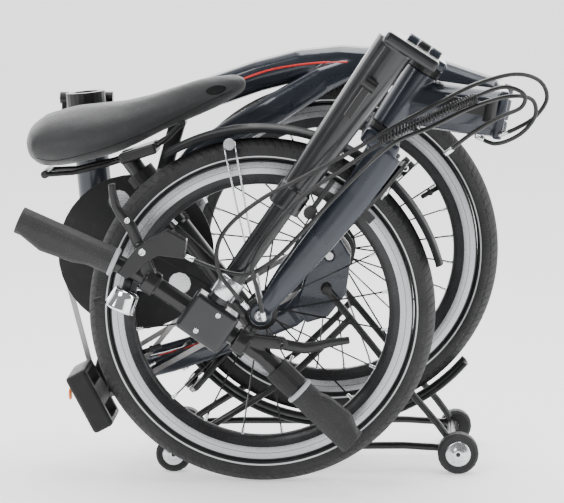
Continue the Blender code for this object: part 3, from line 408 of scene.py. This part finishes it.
def capped(profile, steps, matrix):
    """A turned solid whose outline starts and ends on the axis, placed with a matrix."""
    verts = [matrix @ Vector((0, 0, profile[0][1] * 0.001))]
    rings = profile[1:-1]
    for radius, along in rings:
        for i in range(steps):
            turn = 2 * math.pi * i / steps
            verts.append(matrix @ Vector((radius * math.cos(turn) * 0.001, radius * math.sin(turn) * 0.001,
                                          along * 0.001)))
    verts.append(matrix @ Vector((0, 0, profile[-1][1] * 0.001)))
    faces = [(0, 1 + (i + 1) % steps, 1 + i) for i in range(steps)]
    for k in range(len(rings) - 1):
        for i in range(steps):
            a = 1 + k * steps + i
            b = 1 + k * steps + (i + 1) % steps
            faces.append((a, b, b + steps, a + steps))
    last = 1 + (len(rings) - 1) * steps
    faces += [(len(verts) - 1, last + i, last + (i + 1) % steps) for i in range(steps)]
    return verts, faces


def facing(at, direction):
    turn = Vector(direction).normalized().to_track_quat("Z", "Y").to_matrix().to_4x4()
    return Matrix.Translation(at) @ turn


def join(shapes):
    verts = []
    faces = []
    for more_verts, more_faces in shapes:
        base = len(verts)
        verts += list(more_verts)
        faces += [tuple(i + base for i in face) for face in more_faces]
    return verts, faces


def swept(path, radius, sides=8):
    """Points and faces of a round tube through a list of points."""
    verts = []
    faces = []
    side = Vector((0, 1, 0))
    for i, point in enumerate(path):
        ahead = (path[min(i + 1, len(path) - 1)] - path[max(i - 1, 0)]).normalized()
        side = (side - ahead * side.dot(ahead)).normalized()
        up = ahead.cross(side)
        for k in range(sides):
            turn = 2 * math.pi * k / sides
            verts.append(point + (side * math.cos(turn) + up * math.sin(turn)) * radius)
    for i in range(len(path) - 1):
        for k in range(sides):
            a = i * sides + k
            b = i * sides + (k + 1) % sides
            faces.append((a, b, b + sides, a + sides))
    faces.append(tuple(range(sides)))
    faces.append(tuple(range(len(verts) - sides, len(verts))))
    return verts, faces


def free_copy(node, name):
    """A copy of a CAD node as a piece of its own, with its split corners merged."""
    obj = nodes[node].copy()
    obj.data = nodes[node].data.copy()
    obj.name = name
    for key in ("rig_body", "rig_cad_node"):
        if key in obj:
            del obj[key]
    obj.parent = None
    bpy.context.scene.collection.objects.link(obj)
    work = bmesh.new()
    work.from_mesh(obj.data)
    bmesh.ops.remove_doubles(work, verts=work.verts[:], dist=0.00001)
    work.to_mesh(obj.data)
    work.free()
    return obj


def apply_modifiers(obj):
    """Bakes a piece's modifiers into its mesh, as they stand at this frame."""
    made = bpy.data.meshes.new_from_object(obj.evaluated_get(bpy.context.evaluated_depsgraph_get()))
    obj.modifiers.clear()
    obj.data = made
    return made


def remesh_and_fair(obj, voxel, rounds):
    """Gives a piece an even mesh of a voxel size in metres, and then smooths it."""
    remesh = obj.modifiers.new("remesh", "REMESH")
    remesh.mode = "VOXEL"
    remesh.voxel_size = voxel
    remesh.use_smooth_shade = True
    fair = obj.modifiers.new("fair", "SMOOTH")
    fair.iterations = rounds


def softened(node, body, finish, voxel, rounds):
    """A fine copy of a CAD node, with facets faired and welds filleted, shown in its place."""
    obj = free_copy(node, node + "_faired")
    remesh_and_fair(obj, voxel * 0.001, rounds)
    shade_smooth(apply_modifiers(obj))
    return settle(obj, finish, body, (node,))


# Wheels


def wheel(prefix, hub, count):
    """Tyre, rim, valve and the nipples of a number of spokes, round one hub."""
    body = prefix + "_wheel"
    at = place(*hub)
    half = [(182.2, 10.4), (184, 13.2), (187, 16), (191, 17.4), (195, 16.9), (198.5, 15.4),
            (201.5, 13), (204, 10), (206, 6.4), (207.2, 3)]
    verts, faces = spun(half + [(207.5, 0)] + [(r, -y) for r, y in reversed(half)], WHEEL_STEPS)
    add(prefix + "_tyre_shown", verts, faces, "tyre_rubber", body, at, hides=(prefix + "_tyre",))
    half = [(152, 3.5), (152.6, 6), (155, 8.4), (160, 10.6), (164, 11.6), (165.2, 12),
            (180.5, 12), (181.6, 11.6)]
    verts, faces = spun(half + [(r, -y) for r, y in reversed(half)], WHEEL_STEPS)
    add(prefix + "_rim_shown", verts, faces, "rim_alloy", body, at, hides=(prefix + "_rim",))
    nipples = []
    for i in range(count):
        turn = 2 * math.pi * (i + 0.5) / count
        side = (1 if i % 2 else -1) * NIPPLE_OFFSET
        outward = Vector((math.cos(turn), 0, math.sin(turn)))
        foot = outward * NIPPLE_FOOT + Vector((0, side * 0.001, 0))
        nipples.append(capped([(0, 0), (1.5, 0), (1.9, 1), (1.9, 6), (2.6, 7.4), (2.6, 8.6), (0, 8.8)], 8,
                              facing(foot, outward)))
    verts, faces = join(nipples)
    add(prefix + "_nipples", verts, faces, "silver", body, at, slot="steel")
    turn = math.radians(200 if prefix == "front" else 30)
    outward = Vector((math.cos(turn), 0, math.sin(turn)))
    outline = [(0, 0), (2.4, 0), (3, 2), (3, 10), (4.4, 11), (4.4, 14), (3, 15), (3, 24), (0, 24)]
    verts, faces = capped(outline, 12, facing(outward * VALVE_FOOT, outward))
    add(prefix + "_valve", verts, faces, "black_plastic", body, at)


wheel("front", FRONT_HUB, 20)
wheel("rear", REAR_HUB, 28)


# Frame, post and forks: filleted copies

softened("main_frame", "main_frame", "frame_paint", 1.6, 9)
softened("front_frame", "front_frame", "frame_paint", 1.4, 5)
softened("fork", "fork", "frame_paint", 1.4, 5)
softened("rear_stays", "rear_triangle", "frame_paint", 1.5, 3)
softened("handlepost", "handlepost", "post_paint", 1.3, 5)
softened("inner_post", "inner_post", "post_paint", 1.2, 6)
softened("stem", "handlebar", "post_paint", 1.2, 3)
softened("handlebar", "handlebar", "black_metal", 1.2, 6)
softened("left_grip", "handlebar", "grip_rubber", 1.1, 7)
softened("right_grip", "handlebar", "grip_rubber", 1.1, 7)
softened("left_brake_lever", "left_brake_lever", "black_metal", 1.0, 5)
softened("right_brake_lever", "right_brake_lever", "black_metal", 1.0, 5)
softened("rear_rack", "rear_triangle", "black_metal", 1.3, 5)
softened("seatpost", "seatpost", "black_metal", 1.3, 4)
softened("saddle_base", "seatpost", "black_metal", 1.1, 4)
softened("right_crank", "crank", "black_metal", 1.2, 6)
softened("left_crank", "crank", "black_metal", 1.2, 6)


# Fenders


def fender(name, node, hub, start, end, body):
    """The mudguard strip again at full resolution, with its lips rolled."""
    section = [(-23, 9), (-22.4, 6), (-20.6, 3.4), (-17, 1.7), (-9, 0.3), (0, 0),
               (9, 0.3), (17, 1.7), (20.6, 3.4), (22.4, 6), (23, 9)]
    outline = section + [(y * 0.935, drop + 1.5) for y, drop in reversed(section[1:-1])]
    verts = []
    faces = []
    count = 90
    for i in range(count + 1):
        turn = math.radians(start + (end - start) * i / count)
        for y, drop in outline:
            radius = (FENDER_RADIUS - drop) * 0.001
            verts.append(Vector((radius * math.cos(turn), y * 0.001, radius * math.sin(turn))))
    width = len(outline)
    for i in range(count):
        for k in range(width):
            faces.append((i * width + k, i * width + (k + 1) % width,
                          (i + 1) * width + (k + 1) % width, (i + 1) * width + k))
    faces.append(tuple(range(width)))
    faces.append(tuple(range(count * width, (count + 1) * width)))
    add(name, verts, faces, "fender_plastic", body, place(*hub), slot="black_plastic", hides=(node,))


fender("front_fender_shown", "front_fender", FRONT_HUB, 15, 122, "fork")
fender("rear_fender_shown", "rear_fender", REAR_HUB, 214, 320, "rear_triangle")


# Saddle


def padded_saddle():
    """The saddle blown up a little under its cover, from the CAD solid."""
    obj = free_copy("saddle", "saddle_padded")
    remesh_and_fair(obj, SADDLE_VOXEL, 6)
    made = apply_modifiers(obj)
    start = [v.co.copy() for v in made.vertices]
    cloth = obj.modifiers.new("cloth", "CLOTH")
    cloth.settings.use_pressure = True
    cloth.settings.uniform_pressure_force = SADDLE_PRESSURE
    cloth.settings.effector_weights.gravity = 0
    for number in range(1, CLOTH_FRAMES + 1):
        bpy.context.scene.frame_set(number)
    swollen = apply_modifiers(obj)
    for vertex, old in zip(swollen.vertices, start):
        move = vertex.co - old
        if move.length > SWELL_LIMIT:
            vertex.co = old + move.normalized() * SWELL_LIMIT
    bpy.context.scene.frame_set(1)
    fair = obj.modifiers.new("fair", "SMOOTH")
    fair.iterations = 4
    finer = obj.modifiers.new("finer", "SUBSURF")
    finer.levels = 1
    finer.render_levels = 1
    shade_smooth(apply_modifiers(obj))
    settle(obj, "saddle_cover", "seatpost", ("saddle",))
    return obj


cushion = padded_saddle()


def onto(obj, x, z):
    """The point of a piece's near side that lies at x, z of the drafting frame, and its normal."""
    found, point, normal, _ = obj.ray_cast(place(x, RAY_START_Y, z), (0, 1, 0))
    return (point, normal) if found else (None, None)


def ribbon(name, obj, path, width, lift, finish, body, slot):
    """A thin printed or sewn line laid on the near side of a piece."""
    rows = []
    for x, z in path:
        point, normal = onto(obj, x, z)
        if point is not None:
            rows.append((point, normal))
    verts = []
    faces = []
    for i, (point, normal) in enumerate(rows):
        ahead = (rows[min(i + 1, len(rows) - 1)][0] - rows[max(i - 1, 0)][0]).normalized()
        across = normal.cross(ahead).normalized() * width * 0.0005
        raised = normal * lift * 0.001
        verts += [point - across - raised, point - across + raised]
        verts += [point + across + raised, point + across - raised]
    for i in range(len(rows) - 1):
        for k in range(4):
            faces.append((i * 4 + k, i * 4 + (k + 1) % 4, i * 4 + 4 + (k + 1) % 4, i * 4 + 4 + k))
    faces.append((0, 1, 2, 3))
    faces.append(tuple(len(verts) - 4 + k for k in range(4)))
    add(name, verts, faces, finish, body, slot=slot)


def curve_through(points, steps):
    """Points on a smooth curve through the given ones, with the same number of steps in each span."""
    found = []
    for i in range(len(points) - 1):
        before = Vector(points[max(i - 1, 0)])
        a = Vector(points[i])
        b = Vector(points[i + 1])
        after = Vector(points[min(i + 2, len(points) - 1)])
        for k in range(steps):
            t = k / steps
            found.append(0.5 * (2 * a + (b - before) * t + (2 * before - 5 * a + 4 * b - after) * t * t
                                + (3 * a - before - 3 * b + after) * t ** 3))
    return found + [Vector(points[-1])]


bpy.context.view_layer.update()
line = curve_through([(-52, 473), (-43, 477), (-15, 486), (19, 492), (50, 495), (78, 496)], 12)
ribbon("red_pinstripe", bpy.data.objects["main_frame_faired"], line, 2.6, 0.12, "red_line", "main_frame",
       "frame_paint")
seam = curve_through([(-292, 388), (-270, 385), (-240, 391), (-200, 403), (-160, 418),
                      (-120, 437), (-85, 455), (-58, 467)], 10)
ribbon("saddle_seam", cushion, seam, 1.5, 0.25, "black_plastic", "seatpost", "saddle_cover")


# Small fittings


def bolt(name, at, radius, height, body):
    """A socket-head screw on the near side, with a chamfered rim and a hollow drive."""
    outline = [(0, -1), (radius, -1), (radius, height * 0.75), (radius * 0.86, height),
               (radius * 0.5, height), (radius * 0.46, height * 0.45), (0, height * 0.45)]
    verts, faces = capped(outline, 24, facing(at, TOWARDS))
    add(name, verts, faces, "silver", body, slot="steel")


def near_face(node, gap=0.0):
    low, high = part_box(node)
    return Vector(((low.x + high.x) / 2, low.y - gap * 0.001, (low.z + high.z) / 2))


for name in ("roller_near_right", "roller_near_left"):
    low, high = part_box(name)
    radius = (high.x - low.x) * 500
    outline = [(0, -2), (radius * 0.62, -2), (radius * 0.62, 0.4), (radius * 0.55, 1.1), (radius * 0.3, 1.2),
               (radius * 0.26, 2.4), (radius * 0.12, 2.6), (0, 1.6)]
    verts, faces = capped(outline, 40, facing(near_face(name), TOWARDS))
    add(name + "_hub_cap", verts, faces, "silver", name, slot="steel")
bolt("crank_bolt", near_face("crank_axle", 0.5), 7, 3, "crank")
bolt("front_axle_nut", near_face("front_axle", 0.4), 6.5, 4, "fork")
bolt("left_lever_bolt", near_face("left_brake_lever", 0.2), 3.4, 2, "left_brake_lever")
bolt("stem_bolt_low", place(-93, -174.2, 198), 3.2, 1.6, "handlebar")
bolt("stem_bolt_high", place(-67, -174.2, 216), 3.2, 1.6, "handlebar")
bolt("front_brake_bolt", place(149.4, -92, 381.1), 4.5, 3, "fork")

for name, span, part, radius, width, finish in (
        ("left_grip_ring", 0, 0.98, 17.4, 6, "pale_grey"), ("left_grip_cap", 0, 0.03, 15.2, 3, "silver"),
        ("right_grip_ring", 5, 0.34, 17.4, 6, "pale_grey"), ("right_grip_cap", 5, 0.975, 15.2, 3, "silver")):
    bevel = min(1.5, width / 3)
    outline = [(11.9, -width / 2), (radius - bevel, -width / 2), (radius, bevel - width / 2),
               (radius, width / 2 - bevel), (radius - bevel, width / 2), (11.9, width / 2)]
    verts, faces = spun(outline, 48, "Z")
    matrix = facing(bar_point(span, part), bar_heading(span))
    add(name, [matrix @ Vector(v) for v in verts], faces, finish, "handlebar", slot="black_metal")

stays = []
for foot, head in (((-22, -104, 214), (-64.8, -98, 407)), ((-18, -104, 216), (-52, -98, 412))):
    stays.append(swept([place(*foot).lerp(place(*head), i / 10) for i in range(11)], STAY_WIRE_RADIUS))
verts, faces = join(stays)
add("fender_stays", verts, faces, "silver", "fork", slot="steel")
verts, faces = capped([(0, 0), (6, 0), (7, 1.2), (7, 3), (5.4, 4.2), (0, 4.4)], 20,
                      facing(place(-58, -98, 409), TOWARDS))
add("fender_plug", verts, faces, "pale_grey", "fork", slot="black_plastic")

wrapped = [(120, -187, 424), (150, -185, 437), (180, -174, 449), (210, -166, 463), (232, -158, 470)]
route = curve_through([place(*point) for point in wrapped], 60)
coil = []
for i, point in enumerate(route):
    turn = i / len(route) * 2 * math.pi * WRAP_TURNS
    coil.append(point + Vector((0, math.cos(turn), math.sin(turn))) * WRAP_RADIUS)
verts, faces = swept(coil, WRAP_WIRE_RADIUS, 6)
wrap = add("cable_wrap", verts, faces, "cable_housing", None)
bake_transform(wrap)

CABLES = {
    "front_brake_cable": [(-14, -172, 212), (-20, -182, 246), (-26, -186, 275), (-12, -188, 306),
                          (30, -188, 356), (80, -188, 391), (132, -184, 426), (180, -174, 449),
                          (226, -162, 470), (262, -152, 482), (286, -147, 474), (284, -142, 458),
                          (258, -136, 445), (226, -130, 425), (198, -121, 402)],
    "shift_cable": [(-34, -174, 226), (-49, -184, 246), (-65, -187, 270), (-66, -188, 301),
                    (-49, -189, 328), (-12, -190, 357), (28, -191, 378), (80, -191, 406),
                    (132, -187, 436), (180, -172, 461), (228, -150, 484), (275, -128, 495),
                    (305, -114, 487), (315, -107, 466), (302, -106, 444), (280, -107, 430),
                    (262, -103.5, 422)],
    "rear_brake_cable": [(-103, -170, 284), (-80, -175, 275), (-58, -177, 268), (-30, -177, 266),
                         (0, -178, 284), (28, -181, 312), (80, -186, 368), (132, -186, 417),
                         (180, -175, 438), (226, -160, 459), (268, -140, 470), (296, -126, 466),
                         (301, -119, 446), (284, -115, 424), (256, -109, 412), (234, -103.5, 420)],
}

for name, points in CABLES.items():
    route = curve_through([place(*point) for point in points], 14)
    verts, faces = swept(route, CABLE_RADIUS, 14)
    cable = add(name + "_shown", verts, faces, "cable_housing", None, hides=(name,))
    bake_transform(cable)
    ends = []
    for spot, ahead in ((route[0], route[0] - route[1]), (route[-1], route[-1] - route[-2])):
        outline = [(0, -9), (3, -9), (3.3, -8), (3.3, 1), (2.2, 3), (0, 3)]
        ends.append(capped(outline, 16, facing(spot, ahead)))
    add(name + "_bar_ferrule", *ends[0], "silver", "handlepost", slot="steel")
    add(name + "_frame_ferrule", *ends[1], "silver", "fork", slot="steel")

for name in ("right_pedal", "left_pedal"):
    low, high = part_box(name)
    middle = (low + high) / 2
    outline = [(0, -1), (7, -1), (7.4, 0), (7.4, 1.6), (6.6, 2.4), (0, 2.6)]
    verts, faces = capped(outline, 24, facing(Vector((low.x, middle.y, middle.z)), (-1, 0, 0)))
    add(name + "_reflector", verts, faces, "amber", name, slot="black_plastic")


def plate(name, outline, y_near, y_far, finish, body, bevel=0.0012):
    """A flat bracket cut from an x, z outline, with bevelled edges."""
    work = bmesh.new()
    rim = [work.verts.new(place(x, y_near, z)) for x, z in outline]
    face = work.faces.new(rim)
    grown = bmesh.ops.extrude_face_region(work, geom=[face])
    moved = [item for item in grown["geom"] if isinstance(item, bmesh.types.BMVert)]
    bmesh.ops.translate(work, verts=moved, vec=(0, (y_far - y_near) * 0.001, 0))
    bmesh.ops.recalc_face_normals(work, faces=work.faces[:])
    bmesh.ops.bevel(work, geom=work.edges[:], offset=bevel, segments=2, profile=0.6, affect="EDGES")
    mesh = bpy.data.meshes.new(name)
    work.to_mesh(mesh)
    work.free()
    obj = bpy.data.objects.new(name, mesh)
    bpy.context.scene.collection.objects.link(obj)
    return settle(obj, finish, body)


plate("left_lever_housing", [(-163, 294), (-127, 315), (-104, 303), (-107, 281), (-137, 285), (-152, 277),
                             (-163, 264), (-175, 257), (-185, 264), (-173, 281)], -167, -146,
      "black_metal", "handlebar")
bolt("left_housing_bolt", place(-156, -167.2, 289), 4.2, 1.8, "handlebar")

bell_matrix = Matrix.Translation(place(-179, POST_Y, 232)) @ Matrix.Rotation(math.radians(25), 4, "Y")
outline = [(0, 12.5), (8, 12.5), (13, 11.6), (15.4, 9), (16.4, 3), (17.2, -4), (18.6, -10), (19, -12.5),
           (18, -13.4), (16.8, -12.6), (15.2, -5), (13.8, 1), (12, 3), (0, 3.4)]
verts, faces = capped(outline, 64, bell_matrix)
add("bell_cup", verts, faces, "bell_chrome", "handlebar", hides=("bell",))
verts, faces = capped([(0, 4), (5, 4), (6, 0), (7.5, -9), (6.5, -11), (0, -11.4)], 32, bell_matrix)
add("bell_heart", verts, faces, "black_plastic", "handlebar")
stalk = [place(-176, POST_Y, 243), place(-174, POST_Y, 251), place(-172, POST_Y, 258)]
verts, faces = swept(stalk, 0.0055, 20)
add("bell_stalk", verts, faces, "black_plastic", "handlebar")

head = Vector((128, POST_Y, 515))
foot = Vector((-84, POST_Y, 208))
down = (foot - head).normalized()
verts, faces = spun([(11, -13), (15.2, -13), (16, -12), (16, 12), (15.2, 13), (11, 13)], 48, "Z")
matrix = facing(place(*(head + down * SLEEVE_ALONG_POST)), down)
add("post_sleeve", [matrix @ Vector(v) for v in verts], faces, "silver", "inner_post", slot="steel")

point, normal = onto(cushion, -78, 468)
turned = facing(point, normal)
outline = [(0, -1), (6.2, -1), (6.6, 0.1), (6, 0.9), (4.6, 1.2), (0, 1.3)]
verts, faces = capped(outline, 36, Matrix.Identity(4))
slope = Matrix.Rotation(math.radians(-12), 4, "Y")
lens = [turned @ (turned.to_3x3().inverted() @ (slope.to_3x3() @ Vector((v[0] * 1.9, 0, v[1] * 0.85)))
                  + Vector((0, 0, v[2]))) for v in verts]
add("saddle_badge", lens, faces, "fender_plastic", "seatpost", slot="black_plastic")

stripe = curve_through([(-155, 132), (-128, 140), (-99, 149)], 8)
ribbon("stay_stripe", bpy.data.objects["rear_stays_faired"], stripe, 2.2, 0.12, "red_line", "rear_triangle",
       "frame_paint")

for name, spot, heading in (("front_adjuster", (126, -97, 352), (0.5, 0, 0.86)),
                            ("rear_adjuster", (-120, 52, 118), (-0.7, 0, -0.7))):
    verts, faces = capped([(0, -9), (2.6, -9), (2.6, -3), (4.2, -2), (4.2, 4), (3, 5), (3, 9), (0, 9)], 20,
                          facing(place(*spot), heading))
    add(name, verts, faces, "silver", "fork" if name == "front_adjuster" else "rear_triangle", slot="steel")


# Floor, light and camera

floor_mesh = bpy.data.meshes.new("floor")
corners = [(x, y, FLOOR_HEIGHT) for x, y in ((-12, -12), (12, -12), (12, 24), (-12, 24))]
floor_mesh.from_pydata(corners, [], [(0, 1, 2, 3)])
floor = bpy.data.objects.new("floor", floor_mesh)
bpy.context.scene.collection.objects.link(floor)
s = Shader("floor_look")
pale = s.blend(s.remap(s.noise(2, 3), 0.3, 0.7), (0.9, 0.9, 0.9), (0.93, 0.93, 0.93))
s.link(pale, s.surface.inputs["Emission Color"])
s.surface.inputs["Emission Strength"].default_value = 0.6
floor.data.materials.append(s.finish(pale, 0.8, 0.0))

world = bpy.data.worlds.new("studio")
bpy.context.scene.world = world
world.use_nodes = True
sky = world.node_tree
backdrop = sky.nodes["Background"]
split = sky.nodes.new("ShaderNodeSeparateXYZ")
sky.links.new(sky.nodes.new("ShaderNodeTexCoord").outputs["Generated"], split.inputs[0])
behind = sky.nodes.new("ShaderNodeMapRange")
behind.interpolation_type = "SMOOTHSTEP"
for key, number in (("From Min", -0.15), ("From Max", 0.75), ("To Min", 0.28), ("To Max", 4.2)):
    behind.inputs[key].default_value = number
sky.links.new(split.outputs["Y"], behind.inputs["Value"])
sky.links.new(behind.outputs["Result"], backdrop.inputs["Strength"])
backdrop.inputs["Color"].default_value = (1.0, 1.0, 1.0, 1.0)


def area_light(name, at, target, size, power):
    data = bpy.data.lights.new(name, "AREA")
    data.shape = "RECTANGLE"
    data.size = size[0]
    data.size_y = size[1]
    data.energy = power
    obj = bpy.data.objects.new(name, data)
    obj.location = at
    obj.rotation_euler = (Vector(target) - Vector(at)).to_track_quat("-Z", "Y").to_euler()
    bpy.context.scene.collection.objects.link(obj)


area_light("key", (-1.3, -1.9, 1.9), (0, 0, 0.25), (1.2, 1.2), 42)
area_light("top", (0.2, 0.1, 2.3), (0, 0, 0.2), (1.6, 0.9), 40)
area_light("side", (2.0, -0.9, 0.9), (0, 0, 0.25), (0.5, 1.4), 20)

camera_data = bpy.data.cameras.new("camera")
camera_data.lens = CAMERA_LENS
camera_data.sensor_width = 36
camera = bpy.data.objects.new("camera", camera_data)
level = math.cos(CAMERA_ELEVATION)
offset = Vector((math.sin(CAMERA_AZIMUTH) * level, -math.cos(CAMERA_AZIMUTH) * level,
                 math.sin(CAMERA_ELEVATION)))
camera.location = place(0, 0, CAMERA_TARGET_HEIGHT) + offset * CAMERA_DISTANCE
camera.rotation_euler = (-offset).to_track_quat("-Z", "Y").to_euler()
bpy.context.scene.collection.objects.link(camera)
bpy.context.scene.camera = camera
